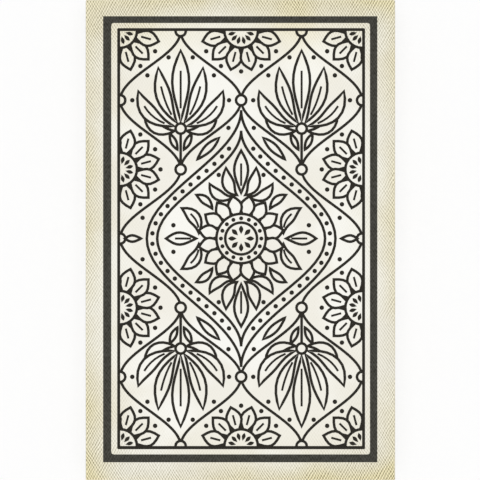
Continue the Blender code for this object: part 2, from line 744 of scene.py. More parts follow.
CREST_BEADS = ((0.37, 0.92), (0.21, 1.60), (1.63, 0.30))
SPRAY_LEAVES = (((0.07, 0.70), (0.36, 0.68), (0.50, 0.98), 0.098),)
SPRAY_MIDDLE = ((0.0, 0.729), (0.0, 0.978), (0.0, 1.24), 0.1)
SPRAY_BUD = ((0.0, 1.644), (0.0, 1.778), (0.0, 1.92), 0.053)
SPRAY_BEADS = ((0.22, 1.12),)


def outlined_leaf(points, cell, back):
    """A leaf with a vein, if it is wide enough for one."""
    *curve, half_width = points
    curve = [point * cell for point in curve]
    shapes = outline(leaf(*curve, half_width * cell[0]), back.line)
    if half_width * cell[0] > VEIN_ROOM * back.line:
        shapes += stroke(bow(*curve, VEIN_SHARES)[0], back.vein)
    return shapes


def fan_of_leaves(leaves, middle, beads, cell, back):
    """Pairs of leaves, one over another, round a middle leaf, with beads at their tips."""
    shapes = []
    for points in leaves:
        shapes += mirrored(outlined_leaf(points, cell, back))
    shapes += outlined_leaf(middle, cell, back)
    return shapes + mirrored(ink(*(disc(back.bead, BEAD_STEPS, place * cell) for place in beads)))


def lotus(cell, back):
    """An open lotus on a stem, which fills one cell."""
    shapes = stroke(LOTUS_STEM * cell, back.line)
    shapes += fan_of_leaves(LOTUS_LEAVES, LOTUS_MIDDLE, LOTUS_BEADS, cell, back)
    return shapes + outline(disc(RING_SIZE * cell[0], 18, LOTUS_RING * cell), back.line)


def rosette(repeats, size, back):
    """Petals round a seeded heart, in shares of its size, which is half its width."""
    petals = outline(petal(0.70 * size, 0.19 * size), back.line)
    petals += stroke(((0.24 * size, 0), (0.50 * size, 0)), back.vein)
    shapes = repeats.ring(petals, ROSETTE_PETALS, 0.30 * size, half_step=True)
    shapes += outline(disc(0.42 * size, 28), back.line)
    seed = ink(petal(0.21 * size, 0.048 * size))
    return shapes + repeats.ring(seed, ROSETTE_PETALS, 0.13 * size, half_step=True)


def great_rosette(repeats, size, back):
    """Petals round a ring of beads and a star, in shares of its size, which is half its width."""
    petals = outline(petal(0.575 * size, 0.1625 * size), back.line)
    shapes = repeats.ring(petals, GREAT_PETALS, 0.425 * size, half_step=True)
    shapes += outline(disc(0.575 * size, 48), back.line)
    shapes += repeats.ring(ink(disc(0.9 * back.bead, BEAD_STEPS)), GREAT_PETALS, 0.47 * size)
    shapes += outline(disc(0.37 * size, 36), back.line)
    return shapes + repeats.ring(ink(petal(0.206 * size, 0.0525 * size)), STAR_PETALS, 0.1 * size)


def lattice_line(number, heights, cell):
    """One of the swaying lines between the cells."""
    sway = np.cos(math.pi * (heights / cell[1] + number)) / 2
    return np.column_stack((cell[0] * (number + 0.5 - sway), heights))


def middle_cells(cell):
    """The outline of the four cells round the middle of the panel."""
    heights = np.linspace(0, 1, MIDDLE_STEPS)[:-1] * cell[1]
    lower = lattice_line(1, heights, cell)
    upper = lattice_line(0, heights + cell[1], cell)
    quarter = np.vstack((lower, upper, ((0, 2 * cell[1]),)))
    half = np.vstack((quarter, (quarter * (-1, 1))[-2:0:-1]))
    return np.vstack((half, -half))


def medallion(repeats, cell, back):
    """A great rosette with crests and sprays in a beaded ogee."""
    size = cell * (back.medallion_width, back.medallion_length)
    inner = size * MEDALLION_INNER
    shapes = outline(ogee(*size, OGEE_STEPS), back.line) + outline(ogee(*inner, OGEE_STEPS), back.line)
    bead_line = ogee(*(size + inner) / 2, BEAD_LINE_STEPS)
    bead = ink(disc(back.bead, BEAD_STEPS))
    shapes += repeats.along(bead, bead_line, back.bead_count, MEDALLION_BEADS * size[1])
    crest = fan_of_leaves(CREST_LEAVES, CREST_MIDDLE, CREST_BEADS, cell, back)
    square = cell[[0, 0]]
    spray = fan_of_leaves(SPRAY_LEAVES, SPRAY_MIDDLE, SPRAY_BEADS, square, back)
    spray += outlined_leaf(SPRAY_BUD, square, back)
    for side in (0, 1):
        shapes += turned(crest, side * math.pi) + turned(spray, (side + 0.5) * math.pi)
    return shapes + great_rosette(repeats, GREAT_SIZE * cell[0], back)


def frame_shapes(back):
    """A broad frame with a fine rule inside it, and the half size of the panel that they leave."""
    half = np.array((WIDTH, LENGTH)) / 2 - back.margin
    shapes = moved([(box(*half), FRAME_INK)], back.frame_place)
    half = half - back.frame_line
    shapes += moved([(round_box(*half, back.inner_radius, FRAME_CORNER_STEPS), PAPER)], back.hole_place)
    half = half - back.frame_gap
    shapes += moved([(round_box(*half, back.rule_radius, FRAME_CORNER_STEPS), LINE_INK)], back.rule_place)
    half = half - back.rule_line
    return shapes + moved([(box(*half), PAPER)], back.panel_place), half


def back_print(repeats, back):
    """Lotus and rosette cells round a medallion, inside a frame and a rule."""
    border, panel = frame_shapes(back)
    cell = panel / (back.columns, back.rows)
    heights = np.linspace(-panel[1], panel[1], LATTICE_STEPS * back.rows + 1)
    ornament = []
    for number in range(-back.columns, back.columns):
        ornament += stroke(lattice_line(number, heights, cell), back.line)
    size = ROSETTE_SIZE * cell[0]
    beads = repeats.ring(ink(disc(back.bead, BEAD_STEPS)), ROSETTE_PETALS, ROSETTE_BEADS * size)
    beads = repeats.lattice(beads, back, cell, parity=1, at_edge=1, clear=0)
    ornament += repeats.lattice(rosette(repeats, size, back), back, cell, parity=1, at_edge=1, clear=0)
    ornament += [bead for bead in beads if (np.abs(bead[0]) < panel).all()]
    ornament += repeats.lattice(lotus(cell, back), back, cell, parity=1, at_edge=0, clear=1)
    ornament.append((widened(middle_cells(cell), -back.line / 2), PAPER))
    joint = outline(disc(RING_SIZE * cell[0], 16), back.line)
    for at_edge in (0, 1):
        ornament += repeats.lattice(joint, back, cell, parity=0, at_edge=at_edge, clear=0)
    ornament += medallion(repeats, cell, back)
    return border + moved(clipped(ornament, panel), back.panel_place)


# Emblems on the faces, each drawn in a square from -100 to 100

EMBLEM_HALF = 100

EMBLEMS = {}


def emblem(drawing):
    """Keep a drawing under its own name, which is also its card's."""
    EMBLEMS[drawing.__name__] = drawing
    return drawing


@emblem
def rider():
    """A bridled horse's head."""
    head = smoothed((
        (10, 76), (-8, 68), (-24, 50), (-46, 16), (-66, -10), (-62, -26),
        (-46, -28), (-24, -12), (-4, -10), (-8, -40), (-30, -92), (70, -92),
        (76, -30), (58, 32), (32, 68),
    ))
    shapes = ink(head, leaf((8, 60), (4, 84), (12, 100), 8))
    shapes += ink(leaf((24, 60), (24, 82), (32, 97), 7))
    shapes += ink(arc((-44, -18), (-20, -22), (0, -22), 2.5))
    shapes += bare(arc((0, -22), (36, -26), (74, -50), 2.2))
    shapes += bare(arc((-30, 46), (-22, 20), (-30, -12), 2.2))
    shapes += bare(arc((-50, 12), (-40, 0), (-42, -20), 2.2))
    shapes += bare(oval(-12, 42, 5, 4), oval(-54, -8, 3.5, 2.5))
    for step in range(5):
        top = np.array((30 + 7 * step, 56 - 22 * step))
        shapes += bare(leaf(top, top + (-2, -14), top + (-16, -24), 2.2))
    return shapes


@emblem
def clover():
    """Four heart-shaped leaves on a stalk."""
    shapes = ink(arc((0, 0), (0, -60), (34, -94), 3.5))
    one = moved(ink(heart_outline(76)), (0, 40)) + bare(leaf((0, 14), (0, 30), (0, 56), 2))
    for quarter in range(4):
        shapes += turned(one, (quarter + 0.5) * math.pi / 2)
    return shapes


@emblem
def ship():
    """Two sails over a hull, and the sea."""
    hull = ((-90, -36), (-62, -74), (58, -74), (92, -22), (60, -38), (-60, -38))
    shapes = ink(hull, rect(-3, -40, 3, 88))
    shapes += ink(((8, 80), (8, -28), (72, -28), (52, 22)))
    shapes += ink(((-8, 66), (-34, 16), (-66, -28), (-8, -28)))
    shapes += red(((3, 98), (3, 82), (34, 90)))
    shapes += bare(arc((-70, -47), (10, -52), (74, -44), 2))
    shapes += bare(arc((16, 50), (30, 20), (20, -20), 1.5))
    across = np.linspace(-90, 90, 33)
    for row in range(2):
        sea = 3 * np.sin(across * 0.14 + row * 2) - 82 - 10 * row
        shapes += ink(ribbon(np.column_stack((across, sea)), 2))
    return shapes


@emblem
def house():
    """A house with a chimney that smokes."""
    shapes = ink(rect(-60, -80, 60, 10), rect(28, 20, 46, 78))
    shapes += ink(((-82, 6), (82, 6), (0, 78)), rect(-95, -86, 95, -80))
    shapes += bare(rect(-72, 6, 72, 10), rect(-13, -80, 13, -28), dot(0, 36, 12))
    window = bare(rect(24, -46, 48, -14))
    window += ink(rect(35, -46, 37, -14), rect(24, -31, 48, -29))
    shapes += mirrored(window) + ink(dot(6, -54, 2.5))
    return shapes + ink(arc((37, 82), (50, 90), (34, 100), 2.5))


@emblem
def tree():
    """A tree with a round crown."""
    trunk = ((-10, 10), (-13, -55), (-36, -86), (36, -86), (13, -55), (10, 10))
    shapes = ink(trunk, rect(-90, -90, 90, -86), dot(0, 36, 44), dot(0, 72, 27))
    shapes += mirrored(ink(dot(44, 14, 32), dot(30, 58, 32)))
    for across, up in ((0, 10), (42, 20), (24, 52), (0, 82)):
        shapes += mirrored(bare(leaf((across - 9, up), (across, up + 6), (across + 9, up), 3.5)))
    return shapes + bare(arc((0, -5), (4, -40), (-6, -74), 1.2))


def cloud(across, up, size, edge):
    """Puffs on a flat base, grown by an edge."""
    puffs = ((-62, 2, 26), (-22, 22, 38), (28, 16, 34), (66, 0, 24))
    found = [disc(size * radius + edge, 28, (across + size * x, up + size * y)) for x, y, radius in puffs]
    return [*found, rect(across - 66 * size, up - 24 * size - edge, across + 68 * size, up)]


@emblem
def clouds():
    """A light cloud before a dark one, with rain."""
    light = (-10, -16, 0.86)
    shapes = ink(*cloud(12, 44, 0.82, 0)) + bare(*cloud(*light, 7))
    shapes += ink(*cloud(*light, 3.5)) + bare(*cloud(*light, 0))
    for step in range(6):
        start = np.array((-55 + 20 * step, -46 - 10 * (step % 2)))
        shapes += ink(leaf(start, start + (-5, -12), start + (-10, -30), 3))
    return shapes


@emblem
def snake():
    """A spotted snake that winds upwards."""
    along = np.linspace(0, 1, 48)
    sway = 58 * np.sin(along * 3.2 * math.pi) * (1 - 0.3 * along)
    line = np.column_stack((sway, 150 * along - 92))
    shapes = ink(ribbon(line, 2 + 10 * np.sin(math.pi * along**0.8) ** 0.8))
    shapes += bare(*(disc(3, 8, place) for place in line[8:42:4]))
    head = ((2, -8), (17, 6), (10, 26), (-4, 30), (-16, 16), (-12, -2))
    top = ink(smoothed(head)) + bare(dot(4, 16, 3))
    top += red(arc((2, 28), (5, 34), (16, 38), 1.4))
    top += red(arc((0, 28), (2, 36), (-4, 44), 1.4))
    return shapes + moved(top, line[-1])


@emblem
def coffin():
    """A coffin's lid with a cross on it."""
    lid = np.array(((-32, 95), (-58, 48), (-36, -95), (36, -95), (58, 48), (32, 95)))
    shapes = ink(lid) + bare(widened(lid, -6)) + ink(widened(lid, -11))
    return shapes + bare(rect(-5, -55, 5, 68), rect(-26, 24, 26, 34))


def blossom(across, up, size, petals):
    """A flower with six round petals."""
    shapes = petals(*(disc(0.52 * size, 16, place) for place in disc(0.62 * size, 6, (across, up))))
    return shapes + bare(disc(0.34 * size, 16, (across, up))) + ink(disc(0.16 * size, 10, (across, up)))


@emblem
def bouquet():
    """Five flowers tied with a bow."""
    shapes = mirrored(ink(leaf((10, -18), (50, -20), (72, 12), 11)))
    for lean in (-50, -25, 0, 25, 50):
        shapes += ink(arc((lean, 30), (0, -20), (-0.7 * lean, -92), 2.2))
    for across, up in ((52, 36), (26, 70)):
        shapes += mirrored(blossom(across, up, 27, ink))
    shapes += blossom(0, 36, 32, red) + red(dot(0, -36, 7))
    shapes += mirrored(red(leaf((0, -36), (24, -12), (46, -34), 9)))
    return shapes + mirrored(red(leaf((0, -38), (20, -50), (26, -78), 5)))


@emblem
def scythe():
    """A scythe with two grips."""
    shapes = ink(ribbon(((-52, -95), (40, 82)), 4.5), ribbon(((34, 78), (50, 90)), 7))
    shapes += ink(leaf((46, 84), (-44, 112), (-82, 14), 16, steps=16))
    shapes += bare(arc((20, 84), (-38, 86), (-70, 32), 1.4))
    for grip in (((-24, -18), (-2, -30)), ((2, 32), (24, 20))):
        shapes += ink(ribbon(grip, 3.5))
    return shapes


@emblem
def whip():
    """A birch rod: twigs bound to a handle."""
    shapes = []
    for step in range(4):
        twig = ink(arc((3 * step, -30), (5 * step, 30), (22 * step, 92 - 4 * step), 2.4))
        twig += ink(leaf((11 * step, 36), (15 * step + 6, 44), (20 * step + 10, 50), 3))
        shapes += mirrored(twig)
    shapes += ink(rect(-9, -95, 9, -30), rect(-16, -42, 16, -16))
    shapes += bare(*(rect(-16, up - 1.2, 16, up + 1.2) for up in (-36, -29, -22)))
    return shapes + red(rect(-11, -80, 11, -72), rect(-11, -62, 11, -54))


@emblem
def birds():
    """Two birds on two branches."""
    one = ink(((-30, -6), (-64, -34), (-50, -38), (-16, -16)))
    one += ink(leaf((-42, -14), (5, -42), (34, 14), 19, steps=14), dot(30, 16, 13))
    one += red(((40, 22), (40, 11), (56, 15))) + bare(dot(33, 19, 2.8))
    one += bare(leaf((16, -4), (-10, -22), (-44, -16), 9))
    one += ink(leaf((11, -5), (-10, -20), (-36, -16), 5.5))
    one += ink(rect(-1.4, -42, 1.4, -26), rect(6.6, -42, 9.4, -25))
    one += ink(arc((-62, -44), (0, -38), (50, -46), 2.2))
    one += ink(leaf((36, -44), (46, -36), (60, -36), 5))
    one += ink(leaf((-40, -44), (-50, -54), (-62, -54), 4.5))
    return moved(one, (-24, 56)) + moved(swapped(one), (24, -42))


@emblem
def child():
    """A child with a ball."""
    half = ink(ribbon(((12, 34), (44, 2)), 5), rect(6, -84, 18, -34))
    half += ink(oval(15, -86, 12, 6))
    shapes = mirrored(half) + ink(((-13, 44), (-44, -40), (44, -40), (13, 44)))
    shapes += ink(dot(0, 64, 22), leaf((-34, 74), (0, 112), (34, 74), 9))
    shapes += bare(arc((-40, -28), (0, -24), (40, -28), 1.6))
    shapes += red(rect(-22, -1.5, 22, 5.5), dot(66, -77, 15))
    return shapes + bare(arc((53, -76), (66, -70), (79, -76), 1.4))


@emblem
def fox():
    """A fox's head."""
    right = ((48, -20), (70, 12), (78, 88), (30, 50))
    shapes = ink(np.vstack((((0, -88),), right, right[::-1] * np.array((-1, 1)))))
    half = bare(((66, 66), (42, 44), (60, 28)), ((62, 6), (6, -66), (18, -14)))
    half += bare(leaf((14, 10), (26, 26), (42, 20), 6)) + ink(dot(29, 18, 3.5))
    return shapes + mirrored(half) + ink(smoothed(((-10, -70), (0, -88), (10, -70), (0, -64))))


@emblem
def bear():
    """A bear's head."""
    shapes = mirrored(ink(dot(50, 56, 25)) + bare(dot(50, 56, 12)))
    shapes += ink(oval(0, -2, 70, 66)) + bare(oval(0, -24, 36, 28))
    shapes += ink(oval(0, -12, 14, 9), rect(-1.8, -34, 1.8, -16))
    half = ink(arc((0, -34), (10, -44), (18, -32), 1.8))
    half += bare(dot(28, 20, 6.5)) + ink(dot(27, 20, 3))
    return shapes + mirrored(half)


@emblem
def stars():
    """One great star among six small ones."""
    shapes = ink(star(8, 64, 24)) + bare(star(8, 30, 12)) + red(dot(0, 0, 8))
    shapes += mirrored(ink(star(6, 20, 8, (64, 70)), star(6, 20, 8, (70, -62))))
    return shapes + ink(star(6, 15, 6, (0, 86)), star(6, 15, 6, (0, -86)))


@emblem
def stork():
    """A stork on one leg."""
    shapes = red(rect(3, -92, 7, -20), rect(-12, -94, 16, -90))
    shapes += red(ribbon(((18, -20), (34, -52), (10, -66)), 2.2))
    shapes += red(((-36, 80), (-95, 62), (-36, 68)))
    shapes += ink(arc((-16, 0), (-2, 50), (-30, 72), 7.5), dot(-31, 74, 11.5))
    shapes += ink(leaf((-32, 14), (8, -42), (78, -14), 26, steps=16))
    shapes += bare(leaf((-6, 2), (24, -20), (62, -13), 10), dot(-34, 77, 2.6))
    return shapes + ink(leaf((10, -2), (34, -16), (70, -12), 4.5))


@emblem
def dog():
    """A dog's head with a patch and a collar."""
    face = smoothed((
        (-34, 62), (-46, 10), (-30, -42), (0, -72),
        (30, -42), (46, 10), (34, 62), (0, 74),
    ))
    shapes = red(arc((-36, -50), (0, -108), (36, -50), 5), dot(0, -89, 7))
    shapes += ink(face) + bare(widened(face, -4.5)) + ink(oval(22, 24, 20, 26))
    shapes += mirrored(ink(leaf((26, 70), (84, 62), (62, -34), 19, steps=14)))
    shapes += ink(oval(0, -34, 14, 10), rect(-1.8, -52, 1.8, -38), dot(-20, 18, 6))
    shapes += bare(dot(20, 18, 6))
    return shapes + mirrored(ink(arc((0, -52), (10, -58), (18, -48), 1.8)))


@emblem
def tower():
    """A tower with battlements."""
    shapes = ink(((-34, -86), (34, -86), (25, 44), (-25, 44)), rect(-38, 42, 38, 64))
    shapes += ink(*(rect(left, 60, left + 18, 84) for left in (-38, -9, 20)))
    shapes += bare(rect(-10, -86, 10, -52), dot(0, -52, 10), rect(-38, 46, 38, 49))
    shapes += bare(rect(-5, 10, 5, 30), rect(-5, -28, 5, -8))
    for row in range(5):
        side = 16 if row % 2 else -16
        shapes += bare(rect(side - 5, 34 - 24 * row, side + 5, 36 - 24 * row))
    return shapes + ink(arc((-95, -92), (0, -78), (95, -92), 5))


@emblem
def garden():
    """A fountain between clipped trees."""
    basin = ((-50, -46), (-36, -74), (36, -74), (50, -46))
    bowl = ((-24, 8), (-12, -8), (12, -8), (24, 8))
    shapes = ink(basin, rect(-6, -50, 6, 0), bowl, rect(-92, -84, 92, -74))
    shapes += ink(leaf((0, 6), (0, 34), (0, 72), 4.5)) + bare(rect(-42, -56, 42, -53))
    half = ink(rect(68, -76, 76, -30), dot(72, -14, 22), dot(72, 18, 16))
    half += ink(dot(72, 40, 10)) + red(dot(57, -66, 6))
    for reach in (14, 30, 44):
        half += ink(arc((0, 10), (0.6 * reach, 90 - reach), (reach, -42), 1.6))
    return shapes + mirrored(half)


@emblem
def mountain():
    """Two peaks with snow on them."""
    shapes = ink(((-98, -80), (30, -80), (-42, 34)))
    shapes += ink(((-55, -80), (98, -80), (22, 84)))
    shapes += bare(((22, 74), (3, 34), (12, 40), (20, 26), (30, 42), (40, 34)))
    shapes += bare(((-42, 26), (-58, -2), (-48, 4), (-40, -8), (-27, 0)))
    shapes += bare(arc((26, 20), (34, -20), (56, -60), 1.4))
    shapes += bare(arc((14, 16), (10, -20), (-10, -60), 1.4))
    return shapes + ink(rect(-98, -86, 98, -80))


@emblem
def crossroads():
    """A road that parts in three, and a signpost."""
    along = np.linspace(0, 1, 14)
    roads = [bow((0, -95), (0, -20), end, along)[0] for end in ((-82, 62), (82, 62), (0, 86))]
    width = 24 - 17 * along
    shapes = ink(*(ribbon(road, width) for road in roads))
    shapes += bare(*(ribbon(road, width - 3.5) for road in roads))
    for road, dashes in zip(roads, ((8, 11), (8, 11), (1, 4, 7, 10))):
        shapes += ink(*(ribbon(road[dash:dash + 2], 1.4) for dash in dashes))
    shapes += ink(((40, -2), (40, -16), (72, -16), (80, -9), (72, -2)))
    shapes += ink(((66, -22), (34, -22), (26, -29), (34, -36), (66, -36)))
    return shapes + ink(rect(50, -84, 56, 2))


@emblem
def mice():
    """Two mice and a piece of cheese."""
    body = (
        (-62, -20), (-40, -30), (0, -32), (42, -30),
        (48, -4), (20, 18), (-14, 12), (-40, -2),
    )
    one = ink(arc((40, -24), (80, -40), (74, 16), 2), smoothed(body), dot(-22, 16, 13))
    one += bare(dot(-22, 16, 7), dot(-42, -12, 3))
    one += bare(arc((6, -26), (10, 0), (34, -6), 1.2))
    cheese = red(((-26, -9), (30, -9), (22, 12)))
    cheese += bare(dot(6, -4, 3.5), dot(17, 2, 3))
    return moved(one, (0, 50)) + moved(swapped(one), (0, -56)) + cheese


@emblem
def heart():
    """A heart with a line round it."""
    shapes = ink(heart_outline(172)) + bare(heart_outline(158)) + red(heart_outline(146))
    return shapes + bare(leaf((-58, 16), (-56, 52), (-26, 58), 5))


@emblem
def ring():
    """A finger ring with a cut stone."""
    shapes = ink(dot(0, -26, 60)) + bare(dot(0, -26, 46))
    shapes += bare(arc((-52, -22), (-46, -68), (0, -80), 1.4))
    stone = np.array(((-22, 84), (-38, 62), (0, 24), (38, 62), (22, 84)))
    shapes += ink(widened(stone, 4)) + red(stone) + bare(rect(-38, 60.6, 38, 63.4))
    return shapes + bare(ribbon(((-12, 62), (0, 24), (12, 62)), 1.2))


@emblem
def book():
    """A clasped book."""
    side = ((50, 82), (50, -76), (62, -62), (62, 92), (-50, 92), (-62, 82))
    shapes = ink(rect(-62, -76, 50, 82), side)
    shapes += bare(((52, 76), (52, -66), (59, -57), (59, 84)))
    shapes += bare(rect(-46, -62, -42, 70), rect(-34, -60, 38, 66))
    shapes += ink(rect(-30, -56, 34, 62))
    return shapes + bare(star(6, 26, 10, (2, 3))) + red(rect(34, -2, 66, 10))


@emblem
def letter():
    """A sealed letter."""
    shapes = ink(rect(-86, -56, 86, 56)) + bare(rect(-80, -50, 80, 50))
    shapes += ink(ribbon(((-82, 52), (0, -12), (82, 52)), 3))
    shapes += mirrored(ink(ribbon(((82, -52), (26, 6)), 2)))
    return shapes + red(dot(0, -10, 16)) + bare(star(5, 9, 4, (0, -10)))


@emblem
def man():
    """A figure in a coat and a tall hat."""
    right = ((40, -92), (36, -36), (52, -36), (44, 22), (20, 34))
    shapes = ink(np.vstack((right, right[::-1] * np.array((-1, 1)))), oval(0, 50, 16, 19))
    shapes += ink(rect(-17, 62, 17, 96), oval(0, 64, 28, 4.5))
    shapes += bare(((-10, 30), (0, -2), (10, 30)), rect(-17, 70, 17, 73))
    shapes += mirrored(bare(arc((34, 12), (36, -10), (33, -36), 1.2)))
    shapes += bare(rect(-1.2, -92, 1.2, -12), dot(7, -18, 2.2), dot(7, -34, 2.2))
    return shapes + red(leaf((-10, 27), (0, 27), (10, 27), 6))


@emblem
def woman():
    """A figure in a wide skirt, with a fan."""
    right = ((62, -90), (34, -36), (10, -2))
    skirt = np.vstack((((0, -96),), right, right[::-1] * np.array((-1, 1))))
    shapes = ink(smoothed(skirt), ((-24, 32), (-9, -6), (9, -6), (24, 32)))
    shapes += ink(oval(0, 52, 15, 18), dot(0, 76, 11))
    arm = arc((22, 30), (44, 14), (24, -6), 5)
    shapes += mirrored(ink(arm, oval(14, 56, 6, 14)))
    shapes += bare(arc((-50, -66), (0, -76), (50, -66), 1.6))
    shapes += bare(arc((-56, -78), (0, -88), (56, -78), 1.6))
    shapes += bare(((-12, 32), (0, 20), (12, 32)))
    fan = ((22, -8), (52, 4), (48, 20), (34, 28))
    return shapes + red(fan, rect(-10, -8, 10, -2))


@emblem
def lily():
    """An open lily on its stalk."""
    shapes = ink(arc((0, 0), (2, -50), (-6, -95), 3))
    shapes += ink(leaf((-4, -80), (-50, -70), (-62, -22), 10))
    shapes += ink(leaf((-2, -72), (42, -62), (56, -20), 9))
    half = ink(arc((6, 30), (16, 60), (17, 82), 1.4)) + red(oval(17, 86, 3.5, 7))
    half += ink(leaf((2, -2), (62, 14), (66, 66), 15))
    shapes += mirrored(half + bare(arc((14, 6), (50, 20), (58, 50), 1.2)))
    shapes += ink(leaf((0, -6), (0, 40), (0, 94), 20))
    shapes += bare(arc((0, 12), (0, 40), (0, 74), 1.2))
    half = bare(leaf((2, 0), (30, 30), (30, 72), 11))
    return shapes + mirrored(half + ink(leaf((4, 0), (30, 30), (30, 68), 8)))


@emblem
def sun():
    """A sun with sixteen rays."""
    shapes = ink(star(16, 94, 52)) + bare(dot(0, 0, 50)) + red(dot(0, 0, 42))
    return shapes + bare(dot(0, 0, 33)) + ink(star(8, 28, 14)) + bare(dot(0, 0, 8))


@emblem
def moon():
    """A crescent and three stars."""
    shapes = ink(dot(-6, 0, 74)) + bare(dot(24, 12, 62))
    for across, up, size in ((22, 30, 20), (56, -10, 13), (60, 62, 11)):
        shapes += red(star(5, size, 0.4 * size, (across, up)))
    return shapes


@emblem
def key():
    """A key with a bow of three rings."""
    places = ((0, 74), (-24, 46), (24, 46))
    shapes = ink(*(disc(24, 28, place) for place in places))
    shapes += bare(*(disc(13, 24, place) for place in places))
    shapes += ink(rect(-5.5, -92, 5.5, 52), rect(-13, 16, 13, 24))
    shapes += ink(rect(-10, 6, 10, 11), rect(5, -88, 40, -74))
    shapes += ink(rect(5, -66, 32, -54), rect(30, -88, 40, -60))
    return shapes + red(dot(0, 54, 6))


@emblem
def fish():
    """Two fish, one over the other."""
    one = ink(((46, 0), (86, 26), (76, 0), (86, -26)))
    one += ink(leaf((62, 0), (0, 0), (-84, 0), 29, steps=16))
    one += ink(((-12, 22), (10, 42), (26, 16)), ((0, -22), (14, -38), (22, -16)))
    one += bare(dot(-60, 5, 5), arc((-42, 22), (-30, 0), (-42, -22), 1.8))
    for column in range(3):
        for row in range(-1, 2):
            place = np.array((-16 + 17 * column + 4 * abs(row), 10 * row))
            one += bare(arc(place + (0, 4.5), place + (7, 0), place + (0, -4.5), 1.2))
    return moved(one, (0, 44)) + moved(swapped(one), (0, -44))


@emblem
def anchor():
    """An anchor with its rope."""
    shapes = ink(dot(0, 78, 17)) + bare(dot(0, 78, 9))
    shapes += ink(rect(-6, -82, 6, 64), rect(-36, 38, 36, 49))
    half = ink(dot(38, 43.5, 8), arc((0, -82), (62, -84), (72, -26), 7))
    shapes += mirrored(half + ink(((46, -32), (94, -34), (76, 6))))
    shapes += red(arc((10, 78), (70, 60), (10, 16), 2.5))
    return shapes + red(arc((12, 17), (-50, -5), (16, -44), 2.5))


@emblem
def cross():
    """A cross on a mound."""
    ends = ((0, 82), (-48, 36), (48, 36))
    shapes = ink(rect(-10, -70, 10, 80), rect(-46, 26, 46, 46))
    shapes += ink(*(disc(15, 20, place) for place in ends))
    shapes += bare(*(disc(6, 14, place) for place in ends))
    shapes += bare(rect(-1.8, -60, 1.8, 66), rect(-32, 34.2, 32, 37.8))
    shapes += red(star(8, 14, 7, (0, 36)))
    mound = (
        (62, -92), (50, -80), (25, -67), (-25, -67),
        (-50, -80), (-62, -92), (0, -96),
    )
    shapes += ink(smoothed(mound))
    for across, up in ((-36, -84), (-16, -74), (18, -75), (38, -85), (0, -86)):
        shapes += bare(leaf((across - 7, up), (across, up + 5), (across + 7, up), 2))
    return shapes


# The print on the faces

# Height of a capital in the built-in typeface, in shares of its size, and steps of its curves
CAPITAL = 0.73
TYPE_STEPS = 4


def heart_pip(size):
    return red(heart_outline(size))


def diamond_pip(size):
    points = disc(1.0, 24)
    return red(np.sign(points) * np.abs(points) ** 1.7 * size * (0.40, 0.54))


def pip_foot(size):
    """The flared foot of a spade or a club."""
    heights = np.linspace(0, 1, 6)
    side = np.column_stack((0.04 + 0.2 * heights**2, -0.05 - 0.45 * heights))
    return ink(np.vstack((side[::-1] * (-1, 1), side)) * size)


def spade_pip(size):
    return ink(heart_outline(0.86 * size) * (1, -1) + (0, 0.06 * size)) + pip_foot(size)


def club_pip(size):
    lobes = [disc(0.225 * size, 20, place) for place in disc(0.25 * size, 3) @ ((0, 1), (1, 0))]
    return moved(ink(*lobes, disc(0.12 * size, 12)), (0, 0.06 * size)) + pip_foot(size)


PIPS = {"H": heart_pip, "D": diamond_pip, "S": spade_pip, "C": club_pip}


def mark_shapes(mark, height, coat):
    """A number or a rank in the built-in typeface, centred."""
    letters = bpy.data.curves.new("mark", "FONT")
    letters.body = str(mark)
    letters.size = height / CAPITAL
    letters.resolution_u = TYPE_STEPS
    text = bpy.data.objects.new("mark", letters)
    bpy.context.scene.collection.objects.link(text)
    seen = text.evaluated_get(bpy.context.evaluated_depsgraph_get())
    mesh = bpy.data.meshes.new_from_object(seen)
    places = np.array([vertex.co.xy for vertex in mesh.vertices])
    places = places - (places.min(axis=0) + places.max(axis=0)) / 2
    shapes = [(places[list(face.vertices)], coat) for face in mesh.polygons]
    bpy.data.objects.remove(text)
    bpy.data.curves.remove(letters)
    bpy.data.meshes.remove(mesh)
    return shapes


def playing_card_mark(card, face):
    """A playing card's rank over its suit, level with the top of a number."""
    rank, suit = card[:-1], card[-1]
    pip = PIPS[suit](face.pip)
    coat = pip[0][1]
    top = face.number_height / 2
    shapes = moved(mark_shapes(rank, face.rank_height, coat), (0, top - face.rank_height / 2))
    return shapes + moved(pip, (0, top - face.rank_height - face.mark_gap - face.pip / 2))


def face_print(repeats, face, number, name):
    """An emblem in a double frame, with the card's number and its playing card in the corners."""
    half = np.array((WIDTH, LENGTH)) / 2 - face.margin
    shapes = []
    for line in (2 * face.line, face.line):
        shapes += ink(box(*half)) + bare(box(*(half - line)))
        half = half - line - face.gap
    corner = np.array((WIDTH, LENGTH)) / 2 - face.mark_inset
    number_mark = mark_shapes(number, face.number_height, LINE_INK)
    shapes += repeats.spots(number_mark, (corner * (-1, 1), corner * (1, -1)))
    shapes += repeats.spots(playing_card_mark(PLAYING_CARDS[number - 1], face), (corner, -corner))
    scale = face.emblem / EMBLEM_HALF
    return shapes + [(points * scale, coat) for points, coat in EMBLEMS[name]()]


# Cards

# The middle of an eased edge lies this share of the ease in from its corner
EASE_MIDDLE = 0.29

# Faces that meet at more than this angle show an edge
SHARP_ANGLE = math.radians(15)


def inside(points, outer):
    """Which points an outline runs round in its own sense."""
    end = np.roll(outer, -1, axis=0)
    edge = end - outer
    reach = points[:, None] - outer
    left = edge[:, 0] * reach[..., 1] - edge[:, 1] * reach[..., 0]
    above, end_above = reach[..., 1] >= 0, points[:, None, 1] >= end[:, 1]
    turns = (above & ~end_above & (left > 0)).sum(axis=1) - (~above & end_above & (left < 0)).sum(axis=1)
    sense = np.sum(outer[:, 0] * end[:, 1] - outer[:, 1] * end[:, 0])
    return turns * sense > 0


